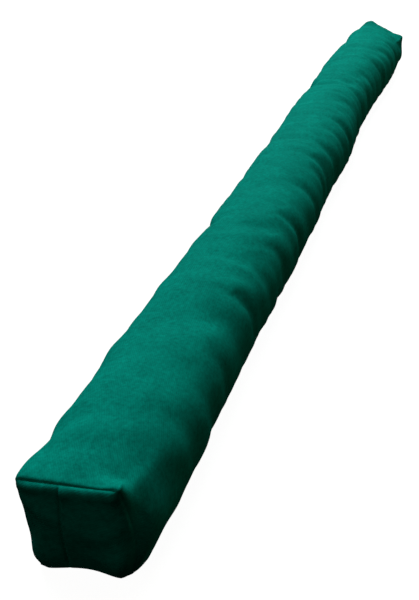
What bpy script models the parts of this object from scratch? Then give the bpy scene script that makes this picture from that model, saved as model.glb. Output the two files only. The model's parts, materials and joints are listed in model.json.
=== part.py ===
"""A boxed-end draught excluder: one length of cotton twill, folded, seamed and filled.

The casing is a single cut cloth, folded along its length into a tube. Each end is closed by an
upright seam and boxed, so that a straight seam crosses the top and the bottom of a square end
face. The tube swells to a soft, flattened section between its ends and lies on the floor. Its
far end has turned a little, so that its top seam slopes down to the right.

Frame: X across the tube, +Y from the near end to the far end, +Z up, metres.
The origin is on the floor under the middle of the tube's bounding box.
"""

import math

import bmesh
import bpy
from mathutils import Vector

MM = 0.001

# Driving dimensions
LENGTH = 0.900  # between the top seams of the two ends
SEAM_WIDTH = 0.048  # a boxed end's top seam, from ear to ear
END_HEIGHT = 0.050  # of the square end face
BODY_WIDTH = 0.0630  # of the filled tube between its ends
BODY_HEIGHT = 0.0540
LEFT_POWER = 2.9  # super-ellipse powers of the filled section's top corners: 2 is an ellipse
RIGHT_POWER = 2.1
LOW_POWER = 2.9  # and of its two bottom corners
BOX_REACH = 0.053  # how far a square end's size carries along the tube
CORNER_REACH = 0.036  # how far its sharp corners do
RIGHT_EAR_REACH = 0.014  # how far the near end's top right one does
SAG = 0.0015  # how far the filling flattens the tube onto the floor

# Boxed ends
LEFT_ROUNDING = 0.006  # soft upright edges where the flanks turn onto an end face
RIGHT_ROUNDING = 0.013
SEAM_PUFF = 0.0014  # how far the cloth stands up beside a seam
PUFF_REACH = 0.0022  # distance from a seam at which most of that puff is reached
FACE_CROWN = 0.0020  # fullness of the end face
TWIST = math.radians(30)  # turn of the far end's top seam, clockwise as seen from the near end
TWIST_LOW_SHARE = 0.25  # share of that turn which reaches the far end's bottom seam
TWIST_REACH = 0.100  # length of tube over which it turns
UPPER_ROUNDING = 0.6  # power of the right edge's upper half: less is rounder near the ear
EDGE_SHARPNESS = 6  # how closely the soft upright edges keep to the flanks
FACE_FULLNESS = 0.7  # flatness of the end face's crown: 1 is a sine curve
PUFF_FULLNESS = 0.3  # the same of the puff along a seam
LOBE_FADE = 3  # a lobe fades over one part in this many from the seams

# Folds
FOLD_SHOULDER = 0.35  # share of a fold's depth that swells up on both sides of it
FOLD_FULLNESS = 0.8  # flatness of a fold's depth along its length
FLAT_TOP = 0.55  # share of a fold's depth that is lost where it crosses the top
FLAT_TOP_AT = 0.60  # turn of that place
FLAT_TOP_REACH = 0.38

# Mesh
SIDE_STEPS = 9  # faces across each of the four sides
BODY_STEP = 0.0075  # longest spacing of the rings
END_STEPS = (0.0, 0.0018, 0.0045, 0.0085, 0.0135, 0.0195)  # ring spacing at a boxed end

# Corners of the boxed ends, and puffs beside them, in mm: how far each is drawn outward, up and
# off the end, and its size; level is a share of the end's height
CORNERS = (
    {"end": "near", "side": -1, "level": 1.0, "out": -0.4, "up": 0.0, "off": 0.0, "size": 6},
    {"end": "near", "side": -1, "level": 0.8, "out": 0.6, "up": 0.0, "off": 0.2, "size": 8},
    {"end": "near", "side": -1, "level": 0.5, "out": 1.6, "up": 0.0, "off": 0.0, "size": 9},
    {"end": "near", "side": -1, "level": 0.2, "out": 1.4, "up": 0.0, "off": 1.0, "size": 8},
    {"end": "near", "side": -1, "level": 0.0, "out": -1.2, "up": 0.0, "off": 0.0, "size": 5},
    {"end": "near", "side": 1, "level": 1.0, "out": 0.6, "up": 0.6, "off": 0.4, "size": 8},
    {"end": "near", "side": 1, "level": 0.0, "out": -3.6, "up": 0.0, "off": -1.6, "size": 9},
    {"end": "near", "side": 0, "level": 0.0, "out": 0.0, "up": 0.0, "off": -2.2, "size": 16},
    {"end": "far", "side": -1, "level": 1.0, "out": -5.4, "up": 1.4, "off": 0.0, "size": 10},
    {"end": "far", "side": -1, "level": 0.0, "out": -2.0, "up": 0.0, "off": 0.0, "size": 8},
    {"end": "far", "side": 1, "level": 1.0, "out": 1.0, "up": 1.0, "off": 0.4, "size": 9},
    {"end": "far", "side": 1, "level": 0.7, "out": 2.2, "up": 0.0, "off": 0.0, "size": 9},
    {"end": "far", "side": 1, "level": 0.0, "out": -2.0, "up": 0.0, "off": 0.0, "size": 8},
)

# How far each flank stands out half way up a square end, in mm
END_BULGES = {"near": {"left": 1.2, "right": 5.0}, "far": {"left": 3.5, "right": 10.0}}

# Swellings and hollows of the end faces, in mm, by their place on the face
LOBES = (
    {"end": "near", "across": -19, "height": 8, "out": 2.0, "size": 9},
    {"end": "near", "across": 20, "height": 9, "out": 3.6, "size": 11},
    {"end": "near", "across": 0, "height": 44, "out": -1.8, "size": 9},
    {"end": "far", "across": -13, "height": 15, "out": 2.6, "size": 13},
    {"end": "far", "across": 13, "height": 14, "out": 2.6, "size": 13},
    {"end": "far", "across": 0, "height": 44, "out": -1.6, "size": 9},
)

# Swellings and waists of the tube, in mm beyond the plain one
FULLNESS = (
    {"at": 0, "left": 0.0, "right": 0.0, "top": 0.0},
    {"at": 20, "left": 2.0, "right": 3.0, "top": -0.2},
    {"at": 40, "left": -0.4, "right": 1.8, "top": 0.0},
    {"at": 65, "left": -2.1, "right": 1.4, "top": 0.4},
    {"at": 85, "left": -1.4, "right": 0.8, "top": 0.4},
    {"at": 100, "left": 0.2, "right": 0.0, "top": 0.2},
    {"at": 140, "left": 0.2, "right": -0.4, "top": -0.4},
    {"at": 185, "left": -0.8, "right": -0.6, "top": 0.4},
    {"at": 225, "left": -1.2, "right": 0.1, "top": 0.2},
    {"at": 245, "left": -1.6, "right": 0.1, "top": -0.2},
    {"at": 258, "left": -2.6, "right": 1.0, "top": 0.4},
    {"at": 270, "left": -4.6, "right": 1.2, "top": 0.2},
    {"at": 292, "left": -1.0, "right": 1.4, "top": 0.2},
    {"at": 325, "left": -1.0, "right": 0.9, "top": 0.0},
    {"at": 360, "left": -1.0, "right": 1.2, "top": -0.2},
    {"at": 385, "left": -0.1, "right": 0.6, "top": 0.2},
    {"at": 415, "left": -0.1, "right": -0.7, "top": 0.4},
    {"at": 445, "left": -1.2, "right": 0.0, "top": -0.2},
    {"at": 470, "left": -0.2, "right": 1.0, "top": 0.4},
    {"at": 495, "left": 0.3, "right": 2.0, "top": 0.2},
    {"at": 520, "left": 1.2, "right": 1.6, "top": 0.4},
    {"at": 550, "left": 2.6, "right": 0.1, "top": 0.2},
    {"at": 590, "left": 2.0, "right": -2.2, "top": 0.4},
    {"at": 606, "left": 0.9, "right": -2.6, "top": -0.2},
    {"at": 624, "left": -2.8, "right": -2.5, "top": 0.0},
    {"at": 645, "left": 1.2, "right": -1.9, "top": 0.4},
    {"at": 690, "left": 1.6, "right": -1.0, "top": 0.2},
    {"at": 720, "left": 3.2, "right": 0.5, "top": 0.2},
    {"at": 750, "left": 2.8, "right": 2.5, "top": 0.2},
    {"at": 790, "left": 1.2, "right": 5.0, "top": 0.2},
    {"at": 824, "left": -3.6, "right": 5.0, "top": 0.2},
    {"at": 850, "left": -0.1, "right": 4.4, "top": 0.4},
    {"at": 885, "left": 0.4, "right": 3.4, "top": 0.4},
    {"at": 900, "left": 0.0, "right": 2.0, "top": 0.8},
)

# Folds that cross the tube, in mm; start and stop count sides of the section from the
# top left corner, and lean is how far a fold drifts along the tube over one side
FOLDS = (
    {"at": 24, "depth": 0.5, "width": 6, "start": -0.6, "stop": 0.7, "lean": 4},
    {"at": 56, "depth": 1.0, "width": 7, "start": 0.6, "stop": 1.8, "lean": 6},
    {"at": 88, "depth": 1.0, "width": 7, "start": 0.7, "stop": 1.7, "lean": 5},
    {"at": 116, "depth": 1.3, "width": 7, "start": 0.6, "stop": 1.8, "lean": 8},
    {"at": 146, "depth": 2.0, "width": 9, "start": 0.2, "stop": 1.7, "lean": 8},
    {"at": 176, "depth": 1.6, "width": 7, "start": 0.6, "stop": 1.8, "lean": 9},
    {"at": 214, "depth": 1.7, "width": 8, "start": 0.4, "stop": 1.8, "lean": 8},
    {"at": 246, "depth": 1.8, "width": 8, "start": 0.8, "stop": 1.8, "lean": 12},
    {"at": 270, "depth": 1.2, "width": 9, "start": -0.8, "stop": 0.3, "lean": 3},
    {"at": 292, "depth": 1.6, "width": 8, "start": 0.8, "stop": 1.9, "lean": 12},
    {"at": 350, "depth": 1.5, "width": 7, "start": 0.7, "stop": 1.8, "lean": 10},
    {"at": 386, "depth": 1.7, "width": 7, "start": 0.8, "stop": 1.8, "lean": 9},
    {"at": 407, "depth": 1.8, "width": 7, "start": 0.8, "stop": 1.8, "lean": 7},
    {"at": 438, "depth": 2.8, "width": 8, "start": 0.3, "stop": 1.9, "lean": 5},
    {"at": 476, "depth": 1.7, "width": 7, "start": 0.6, "stop": 1.7, "lean": 8},
    {"at": 505, "depth": 1.8, "width": 7, "start": 0.8, "stop": 1.8, "lean": 8},
    {"at": 560, "depth": 1.8, "width": 9, "start": 0.7, "stop": 1.9, "lean": 7},
    {"at": 611, "depth": 3.6, "width": 8, "start": 0.1, "stop": 1.9, "lean": -3},
    {"at": 618, "depth": 1.3, "width": 9, "start": -0.9, "stop": 0.3, "lean": -6},
    {"at": 641, "depth": 1.9, "width": 9, "start": 0.9, "stop": 1.9, "lean": 9},
    {"at": 672, "depth": 1.7, "width": 8, "start": 0.7, "stop": 1.8, "lean": 9},
    {"at": 722, "depth": 2.0, "width": 10, "start": 0.6, "stop": 1.9, "lean": 16},
    {"at": 776, "depth": 1.9, "width": 9, "start": 0.8, "stop": 1.9, "lean": 18},
    {"at": 816, "depth": 1.8, "width": 8, "start": 0.7, "stop": 1.8, "lean": 16},
    {"at": 817, "depth": 1.4, "width": 9, "start": -0.9, "stop": 0.3, "lean": -5},
)


def eased(share):
    """0 to 1, with no slope at either end."""
    share = min(max(share, 0.0), 1.0)
    return share * share * (3 - 2 * share)


def arched(share):
    """0 at both ends of a share from 0 to 1, and 1 in its middle."""
    return max(math.sin(math.pi * share), 0.0)


def hill(distance, size):
    """1 at no distance, falling to nothing over about twice the size."""
    return math.exp(-((distance / size) ** 2))


def read_table(rows, column, along):
    """A smooth curve through one column of a table, at a distance along the tube."""
    at = along / MM
    after = next((i for i, row in enumerate(rows) if row["at"] > at), len(rows) - 1)
    low, high = rows[after - 1], rows[after]
    share = (at - low["at"]) / (high["at"] - low["at"])
    return (low[column] + (high[column] - low[column]) * eased(share)) * MM


def unit_square(turn):
    """A point on the square from -1 to 1; turn counts its sides from the top left corner."""
    side, part = divmod(turn % 4, 1)
    step = 2 * part - 1
    return ((step, 1.0), (1.0, -step), (-step, -1.0), (-1.0, step))[int(side)]


def unit_oval(turn):
    """The point of the filled section that belongs to the same turn, from -1 to 1."""
    across, up = unit_square(turn)
    angle = math.atan2(up, across)
    top_power = LEFT_POWER if across < 0 else RIGHT_POWER
    power = 2 / (top_power if up > 0 else LOW_POWER)
    cosine, sine = math.cos(angle), math.sin(angle)
    return (
        math.copysign(abs(cosine) ** power, cosine),
        math.copysign(abs(sine) ** power, sine),
    )


def squareness(along, reach):
    """1 at a boxed end, 0 further from it than the reach."""
    return 1 - eased(min(along, LENGTH - along) / reach)


def rounding_at(height_share, across):
    """Radius of a soft upright edge: none at the seams, fullest half way up."""
    if across < 0:
        return LEFT_ROUNDING * arched(height_share)
    power = UPPER_ROUNDING if height_share > 0.5 else 1.0
    return RIGHT_ROUNDING * arched(height_share) ** power


def rounded_flank(along, radius):
    """How far a flank's point moves in and along where it turns onto the end face."""
    if along >= radius or radius <= 0:
        return 0.0, 0.0
    angle = math.pi / 4 * (1 + along / radius)
    return radius * (1 - math.sin(angle)), radius * (1 - math.cos(angle)) - along


def rounded_face(from_edge, radius):
    """How far an end face's point moves outward and back beside its soft upright edge."""
    if from_edge >= radius or radius <= 0:
        return 0.0, 0.0
    angle = math.pi / 4 * (1 - from_edge / radius)
    return from_edge - radius * (1 - math.sin(angle)), radius * (1 - math.cos(angle))


def seam_puff(distance):
    """Height of the cloth beside a seam that draws it in."""
    return SEAM_PUFF * (1 - math.exp(-distance / PUFF_REACH))


def fold_depth(along, turn):
    """Depth at one point of all the folds that cross the tube."""
    depth = 0.0
    for fold in FOLDS:
        middle = (fold["start"] + fold["stop"]) / 2
        place = (turn - middle + 2) % 4 + middle - 2
        reach = (place - fold["start"]) / (fold["stop"] - fold["start"])
        if 0 < reach < 1:
            centre = (fold["at"] + fold["lean"] * (place - 1)) * MM
            width = fold["width"] * MM
            shoulder = FOLD_SHOULDER * hill(along - centre, 2 * width)
            trough = hill(along - centre, width) - shoulder
            crossing = 1 - FLAT_TOP * hill(place - FLAT_TOP_AT, FLAT_TOP_REACH)
            depth += fold["depth"] * MM * trough * crossing * arched(reach) ** FOLD_FULLNESS
    return depth


def tube_point(along, turn):
    """A point of the tube's wall, before its corners and the far end's turn."""
    box_x, box_z = unit_square(turn)
    oval_x, oval_z = unit_oval(turn)
    square = squareness(along, BOX_REACH)
    soft_ear = box_x > 0 and box_z > 0 and along < LENGTH / 2
    sharp = squareness(along, RIGHT_EAR_REACH if soft_ear else CORNER_REACH)
    width = BODY_WIDTH + (SEAM_WIDTH - BODY_WIDTH) * square
    height = BODY_HEIGHT + (END_HEIGHT - BODY_HEIGHT) * square
    across = sharp * box_x + (1 - sharp) * oval_x
    up = sharp * box_z + (1 - sharp) * oval_z
    height_share = (1 + up) / 2

    flank = "left" if across < 0 else "right"
    swell = read_table(FULLNESS, flank, along) * (1 - square * (1 - arched(height_share)))
    end = "near" if along < LENGTH / 2 else "far"
    bulge = END_BULGES[end][flank] * MM * square * arched(height_share)
    dent = fold_depth(along, turn) * (1 - square)
    x = across * (width / 2 + swell + bulge - dent)
    z = height * height_share
    from_end = min(along, LENGTH - along)
    if up > 0:
        arch = read_table(FULLNESS, "top", along) * (1 - square * across * across)
        z += (arch - dent + seam_puff(from_end)) * up
    z = max((z - SAG) * height / (height - SAG), 0.0)

    inward, onward = rounded_flank(from_end, rounding_at(height_share, across))
    steepness = abs(across) ** EDGE_SHARPNESS  # the flanks turn onto the end face, the top doesn't
    x -= math.copysign(inward, across) * steepness
    y = along + math.copysign(onward, LENGTH / 2 - along) * steepness
    return Vector((x, y, z))


def face_point(across_share, down_share, end):
    """A point of an end face; the shares run from 0 to 1 from its top left corner."""
    height_share = 1 - down_share
    side = 2 * across_share - 1
    flank = "left" if side < 0 else "right"
    half_width = SEAM_WIDTH / 2 + END_BULGES[end][flank] * MM * arched(height_share)
    from_edge = half_width * (1 - abs(side))
    outward, back = rounded_face(from_edge, rounding_at(height_share, side))
    x = side * half_width + outward * math.copysign(1, side)
    z = max((END_HEIGHT * height_share - SAG) * END_HEIGHT / (END_HEIGHT - SAG), 0.0)

    bow = arched(across_share)
    out = FACE_CROWN * (bow * arched(down_share)) ** FACE_FULLNESS
    out += seam_puff(down_share * END_HEIGHT) * bow**PUFF_FULLNESS * height_share
    for lobe in LOBES:
        if lobe["end"] == end:
            distance = math.hypot(x - lobe["across"] * MM, z - lobe["height"] * MM)
            rise = hill(distance, lobe["size"] * MM)
            fade = min(1.0, LOBE_FADE * down_share) * min(1.0, LOBE_FADE * bow)
            out += lobe["out"] * MM * rise * fade
    off = out - back
    return Vector((x, -off if end == "near" else LENGTH + off, z))


def with_corners(point):
    """The point after the corners of the boxed ends have been drawn out or in."""
    moved = point.copy()
    for row in CORNERS:
        far = row["end"] == "far"
        corner = Vector((row["side"] * SEAM_WIDTH / 2, LENGTH * far, END_HEIGHT * row["level"]))
        pull = hill((point - corner).length, row["size"] * MM) * MM
        off = row["off"] if far else -row["off"]
        moved += Vector((row["side"] * row["out"], off, row["up"])) * pull
    return moved


def with_twist(point):
    """The point after the far end has turned over to the right, more at its top."""
    share = eased((point.y - LENGTH + TWIST_REACH) / TWIST_REACH)
    height_share = min(point.z / END_HEIGHT, 1.0)
    angle = TWIST * share * (TWIST_LOW_SHARE + (1 - TWIST_LOW_SHARE) * height_share)
    cosine, sine = math.cos(angle), math.sin(angle)
    up = point.z - END_HEIGHT / 2
    x = cosine * point.x + sine * up
    z = END_HEIGHT / 2 - sine * point.x + cosine * up
    return Vector((x, point.y, max(z, 0.0)))


def settled(point):
    """A point of the plain form, moved to where it lies."""
    return with_twist(with_corners(point))


def ring_places():
    """Distances of the rings from the near seam, closer together at the boxed ends."""
    inner = LENGTH - 2 * END_STEPS[-1]
    count = math.ceil(inner / BODY_STEP)
    body = [END_STEPS[-1] + inner * i / count for i in range(1, count)]
    return [*END_STEPS, *body, *[LENGTH - step for step in reversed(END_STEPS)]]


def add_end_face(mesh, ring, end):
    """Fills one end with a grid of faces that shares the ring's points."""
    steps = SIDE_STEPS

    def rim(i, j):
        if j == 0:
            return ring[i]
        if i == steps:
            return ring[steps + j]
        if j == steps:
            return ring[3 * steps - i]
        return ring[4 * steps - j]

    grid = []
    for j in range(steps + 1):
        row = []
        for i in range(steps + 1):
            if i in (0, steps) or j in (0, steps):
                row.append(rim(i, j))
            else:
                point = face_point(i / steps, j / steps, end)
                row.append(mesh.verts.new(settled(point)))
        grid.append(row)
    for j in range(steps):
        for i in range(steps):
            corners = [grid[j][i], grid[j + 1][i], grid[j + 1][i + 1], grid[j][i + 1]]
            mesh.faces.new(corners if end == "near" else corners[::-1])


def centre_on_floor(mesh):
    """Moves the mesh so that the origin lies under the middle of its box."""
    for axis in (0, 1):
        places = [vertex.co[axis] for vertex in mesh.verts]
        middle = (min(places) + max(places)) / 2
        for vertex in mesh.verts:
            vertex.co[axis] -= middle


def make_casing():
    """The filled casing as one closed mesh."""
    mesh = bmesh.new()
    turns = [i / SIDE_STEPS for i in range(4 * SIDE_STEPS)]
    rings = []
    for along in ring_places():
        points = [settled(tube_point(along, turn)) for turn in turns]
        rings.append([mesh.verts.new(point) for point in points])
    for near, far in zip(rings, rings[1:]):
        for i in range(len(turns)):
            j = (i + 1) % len(turns)
            mesh.faces.new([near[i], near[j], far[j], far[i]])
    add_end_face(mesh, rings[0], "near")
    add_end_face(mesh, rings[-1], "far")
    centre_on_floor(mesh)
    bmesh.ops.recalc_face_normals(mesh, faces=mesh.faces)
    data = bpy.data.meshes.new("filled_casing")
    mesh.to_mesh(data)
    mesh.free()
    data.shade_smooth()
    casing = bpy.data.objects.new("filled_casing", data)
    bpy.context.scene.collection.objects.link(casing)
    return casing


def twill_material():
    """Green cotton twill."""
    material = bpy.data.materials.new("green_twill")
    material.use_nodes = True
    shader = material.node_tree.nodes["Principled BSDF"]
    shader.inputs["Base Color"].default_value = (0.004, 0.190, 0.145, 1.0)
    shader.inputs["Roughness"].default_value = 0.85
    shader.inputs["Metallic"].default_value = 0.0
    return material


def main():
    for thing in list(bpy.data.objects):
        bpy.data.objects.remove(thing)
    casing = make_casing()
    casing.data.materials.append(twill_material())


main()
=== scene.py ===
"""Looks of a boxed-end draught excluder in green cotton twill.

The casing is one length of twill, folded along its length, seamed upright at each end and boxed
there. The script lays out its filled form as a fine grid, lets a coarse copy of it swell as
cloth, adds those moves to the fine grid, and works in the seams, their thread and the finish.

Frame: X across the tube, +Y from the near end to the far end, +Z up, metres. A place on the tube
is given by along, its distance from the near seam, and turn, which counts the four sides of its
section from the top left corner, clockwise as seen from the near end.
"""

import json
import math

import bpy
import numpy as np
from mathutils import Matrix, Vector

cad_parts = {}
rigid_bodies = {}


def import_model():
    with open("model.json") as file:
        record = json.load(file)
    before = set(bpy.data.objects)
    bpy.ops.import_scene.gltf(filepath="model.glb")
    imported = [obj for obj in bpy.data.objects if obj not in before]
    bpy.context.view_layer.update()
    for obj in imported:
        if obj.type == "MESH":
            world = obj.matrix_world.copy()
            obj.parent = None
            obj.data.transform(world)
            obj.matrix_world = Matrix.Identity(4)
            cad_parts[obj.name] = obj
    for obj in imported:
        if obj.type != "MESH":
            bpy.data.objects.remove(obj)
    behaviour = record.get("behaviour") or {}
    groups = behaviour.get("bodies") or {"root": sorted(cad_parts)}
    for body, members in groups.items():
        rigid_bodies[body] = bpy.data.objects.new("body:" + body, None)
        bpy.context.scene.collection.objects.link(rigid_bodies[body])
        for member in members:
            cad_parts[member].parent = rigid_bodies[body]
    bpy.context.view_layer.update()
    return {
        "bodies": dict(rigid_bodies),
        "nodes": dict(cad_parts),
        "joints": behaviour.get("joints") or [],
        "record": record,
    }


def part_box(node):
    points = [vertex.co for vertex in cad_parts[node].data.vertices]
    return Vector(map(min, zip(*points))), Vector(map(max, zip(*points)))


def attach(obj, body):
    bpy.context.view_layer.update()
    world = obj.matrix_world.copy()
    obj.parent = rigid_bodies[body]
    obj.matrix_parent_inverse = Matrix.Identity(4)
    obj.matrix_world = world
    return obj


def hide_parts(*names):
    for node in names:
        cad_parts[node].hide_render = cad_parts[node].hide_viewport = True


MM = 0.001
TINY = 1e-9  # keeps a division from failing
NODE = "filled_casing"
ENDS = ("near", "far")


def table(columns, *rows):
    """Rows of values, each as a dict by the names of its columns."""
    return [dict(zip(columns.split(), row)) for row in rows]


# Driving dimensions of the casing
LENGTH = 0.900  # between the top seams of the two ends
SEAM_WIDTH = 0.048  # a boxed end's top seam, from ear to ear
END_HEIGHT = 0.050  # of the square end face
BODY_WIDTH = 0.0630  # of the filled tube between its ends
BODY_HEIGHT = 0.0540
LEFT_POWER = 2.9  # super-ellipse powers of the filled section's top corners: 2 is an ellipse
RIGHT_POWER = 2.1
LOW_POWER = 2.9  # and of its two bottom corners
BOX_REACH = 0.053  # how far a square end's size carries along the tube
CORNER_REACH = 0.036  # how far its sharp corners do
RIGHT_EAR_REACH = 0.014  # how far the near end's top right one does
SAG = 0.0015  # how far the filling flattens the tube onto the floor
LEFT_ROUNDING = 0.006  # soft upright edges where the flanks turn onto an end face
RIGHT_ROUNDING = 0.013
UPPER_ROUNDING = 0.6  # power of the right edge's upper half: less is rounder near the ear
SEAM_PUFF = 0.0014  # how far the cloth stands up beside a seam
PUFF_REACH = 0.0022  # distance from a seam over which it rises
FACE_CROWN = 0.0020  # fullness of the end face
TWIST = math.radians(30)  # turn of the far end's top seam
TWIST_LOW_SHARE = 0.25  # share of that turn which reaches the far end's bottom seam
TWIST_REACH = 0.100  # length of tube over which it turns
EDGE_SHARPNESS = 6  # how closely the soft upright edges keep to the flanks
FACE_FULLNESS = 0.7  # flatness of the end face's crown: 1 is a sine curve
PUFF_FULLNESS = 0.3  # the same of the puff along a seam
LOBE_FADE = 3  # a lobe fades over one part in this many from the seams

# Corners of the boxed ends, in mm: how far each is drawn outward, up and off the end, and its
# size; side is -1 left, 0 middle and 1 right, and level is a share of the end's height
CORNERS = table(
    "end side level out up off size",
    ("near", -1, 1, -0.4, 0, 0, 6),
    ("near", -1, 0.8, 0.6, 0, 0.2, 8),
    ("near", -1, 0.5, 1.6, 0, 0, 9),
    ("near", -1, 0.2, 1.4, 0, 1, 8),
    ("near", -1, 0, -0.9, 0.4, -0.4, 4),
    ("near", 1, 1, 0.6, 0.6, 0.4, 8),
    ("near", 1, 0, -3, 0.7, -1.4, 9),
    ("near", 1, 0, -0.6, 0.2, -0.7, 3),
    ("near", 0, 0, 0, 0.7, -2.4, 18),
    ("far", -1, 1, -5.4, 1.4, 0, 10),
    ("far", -1, 0, -2, 0, 0, 8),
    ("far", 1, 1, 1, 1, 0.4, 9),
    ("far", 1, 0.7, 2.2, 0, 0, 9),
    ("far", 1, 0, -2, 0, 0, 8),
)

# How far the left and the right flank stand out half way up a square end, in mm
END_BULGES = {"near": (1.2, 5.0), "far": (3.5, 10.0)}

# Swellings and hollows of the end faces, in mm, by their place on the face
LOBES = table(
    "end across height out size",
    ("near", -19, 8, 2, 9),
    ("near", 20, 9, 3.6, 11),
    ("near", 0, 44, -1.8, 9),
    ("far", -13, 15, 2.6, 13),
    ("far", 13, 14, 2.6, 13),
    ("far", 0, 44, -1.6, 9),
)

# Swellings and waists of the tube's flanks and top, in mm beyond the plain one
FULLNESS = table(
    "at left right top",
    (0, 0, 0, 0),
    (20, 2, 3, -0.2),
    (40, -0.4, 1.8, 0),
    (65, -2.1, 1.4, 0.4),
    (85, -1.4, 0.8, 0.4),
    (100, 0.2, 0, 0.2),
    (140, 0.2, -0.4, -0.4),
    (185, -0.8, -0.6, 0.4),
    (225, -1.2, 0.1, 0.2),
    (245, -1.6, 0.1, -0.2),
    (258, -2.6, 1, 0.4),
    (270, -4.6, 1.2, 0.2),
    (292, -1, 1.4, 0.2),
    (325, -1, 0.9, 0),
    (360, -1, 1.2, -0.2),
    (385, -0.1, 0.6, 0.2),
    (415, -0.1, -0.7, 0.4),
    (445, -1.2, 0, -0.2),
    (470, -0.2, 1, 0.4),
    (495, 0.3, 2, 0.2),
    (520, 1.2, 1.6, 0.4),
    (550, 2.6, 0.1, 0.2),
    (590, 2, -2.2, 0.4),
    (606, 0.9, -2.6, -0.2),
    (624, -2.8, -2.5, 0),
    (645, 1.2, -1.9, 0.4),
    (690, 1.6, -1, 0.2),
    (720, 3.2, 0.5, 0.2),
    (750, 2.8, 2.5, 0.2),
    (790, 1.2, 5, 0.2),
    (824, -3.6, 5, 0.2),
    (850, -0.1, 4.4, 0.4),
    (885, 0.4, 3.4, 0.4),
    (900, 0, 2, 0.8),
)

# Folds that cross the tube, in mm; start and stop are turns, and lean is how far a fold drifts
# along the tube over one side
FOLDS = table(
    "at depth width start stop lean",
    (24, 0.5, 6, -0.6, 0.7, 4),
    (56, 1, 7, 0.6, 1.8, 6),
    (88, 1, 7, 0.7, 1.7, 5),
    (116, 1.3, 7, 0.6, 1.8, 8),
    (146, 2, 9, 0.2, 1.7, 8),
    (176, 1.6, 7, 0.6, 1.8, 9),
    (214, 1.7, 8, 0.4, 1.8, 8),
    (246, 1.8, 8, 0.8, 1.8, 12),
    (270, 1.2, 9, -0.8, 0.3, 3),
    (292, 1.6, 8, 0.8, 1.9, 12),
    (350, 1.5, 7, 0.7, 1.8, 10),
    (386, 1.7, 7, 0.8, 1.8, 9),
    (407, 1.8, 7, 0.8, 1.8, 7),
    (438, 2.8, 8, 0.3, 1.9, 5),
    (476, 1.7, 7, 0.6, 1.7, 8),
    (505, 1.8, 7, 0.8, 1.8, 8),
    (560, 1.8, 9, 0.7, 1.9, 7),
    (611, 3.6, 8, 0.1, 1.9, -3),
    (618, 1.3, 9, -0.9, 0.3, -6),
    (641, 1.9, 9, 0.9, 1.9, 9),
    (672, 1.7, 8, 0.7, 1.8, 9),
    (722, 2, 10, 0.6, 1.9, 16),
    (776, 1.9, 9, 0.8, 1.9, 18),
    (816, 1.8, 8, 0.7, 1.8, 16),
    (817, 1.4, 9, -0.9, 0.3, -5),
)
FOLD_SHOULDER = 0.35  # share of a fold's depth that swells up beside it
FOLD_FULLNESS = 0.8  # flatness of a fold's depth along its length
FLAT_TOP = 0.65  # share of a fold's depth that is lost where it crosses the top
FLAT_TOP_AT = 0.72  # turn of that place
FLAT_TOP_REACH = 0.46  # how far round the tube it reaches, in turns

# Flat cloth
GIRTH = 0.198  # of the casing
CASING_SEAM = 2.5  # turn of the plain seam along the underside

# Seams of the casing
CLOSING_TOP = -0.003  # how far off the middle the near end's closing seam is at its top
CLOSING_LOW = -0.009  # and at its foot
CLOSING_SLIDE = 0.060  # length of tube over which the cloth comes back to the middle
SEAM_DEPTH = 0.0011  # of the groove of a top or bottom seam
SEAM_HALF = 0.00050  # half its width
SEAM_FADE = 26  # power by which it fades towards the ears
CLOSING_DEPTH = 0.0010  # and of the closing seam's groove
CLOSING_HALF = 0.0006
CLOSING_STEP = 0.0007  # how far its right side stands proud
CLOSING_EDGE = 0.001  # distance from it at which that side does so in full
CLOSING_REACH = 0.008  # and over which it sinks back
CLOSING_ENDS = (0.002, 0.006)  # how far from its top and its foot it is at its full
LIP_RISE = 0.0010  # roll of cloth just below a top seam
LIP_AT = (0.0026, 0.0033)  # how far below the seam, at its left and its right
LIP_SIZE = (0.0016, 0.0023)  # how high it is there
LIP_FADE = (9, 24)  # power by which it fades at those ears
LIP_CHANGE = 0.1  # share of the half width over which it goes from left to right
LIP_WAVE = 0.50  # share by which it thickens and thins along the seam
LIP_PITCH = 0.013  # length of those waves
PUCKER_RISE = 0.00018  # small gathers beside a seam
PUCKER_PITCH = 0.0075
PUCKER_DRIFT = 3  # how unevenly they are spaced: 0 is even
PUCKER_REACH = 0.006  # how far from the seam they fade
PUCKER_FADE = 4  # power by which they fade towards the ears

# Drags and dents of the tube's cloth beyond the solid's folds, in mm: a line from one place to
# another, its rise and its width; a place is along, and turn from the middle of the top
DRAGS = table(
    "from to rise width",
    ((9, 0.6), (40, 0.7), 0.9, 4.5),
    ((9, 0.86), (40, 0.98), -2.2, 8),
    ((1, 0.46), (16, 0.22), 0.5, 3),
    ((2, 0.34), (4, 0.06), -1.3, 4.5),
    ((1, -0.42), (26, -0.16), 0.4, 3),
    ((899, 0.42), (862, 0.2), 0.7, 4),
    ((899, 0.3), (874, -0.05), -0.4, 5),
    ((899, 0.5), (840, 0.66), 0.4, 6),
    ((896, -0.42), (866, -0.18), 0.5, 4),
    ((44, 0.2), (58, 0.55), -0.5, 7),
    ((132, 0.1), (160, 0.7), -2.4, 13),
    ((160, 0.05), (186, 0.6), 0.9, 9),
    ((84, 0.2), (104, 0.65), -1, 9),
    ((186, 0.25), (200, 0.7), -0.7, 7),
    ((212, 0.2), (234, 0.75), -1.9, 12),
    ((258, 0.25), (276, 0.7), -1.1, 11),
    ((330, 0), (352, 0.6), -1.5, 15),
    ((484, 0.35), (500, 0.75), -1, 11),
    ((560, 0.25), (574, 0.7), -0.8, 9),
    ((622, 0), (630, 0.6), -1.2, 8),
    ((630, 0.22), (690, 0.62), -2.6, 17),
    ((752, 0.3), (780, 0.65), -0.9, 11),
)
DRAG_FADE = 0.55  # share of its rise that a drag loses on its way

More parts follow.
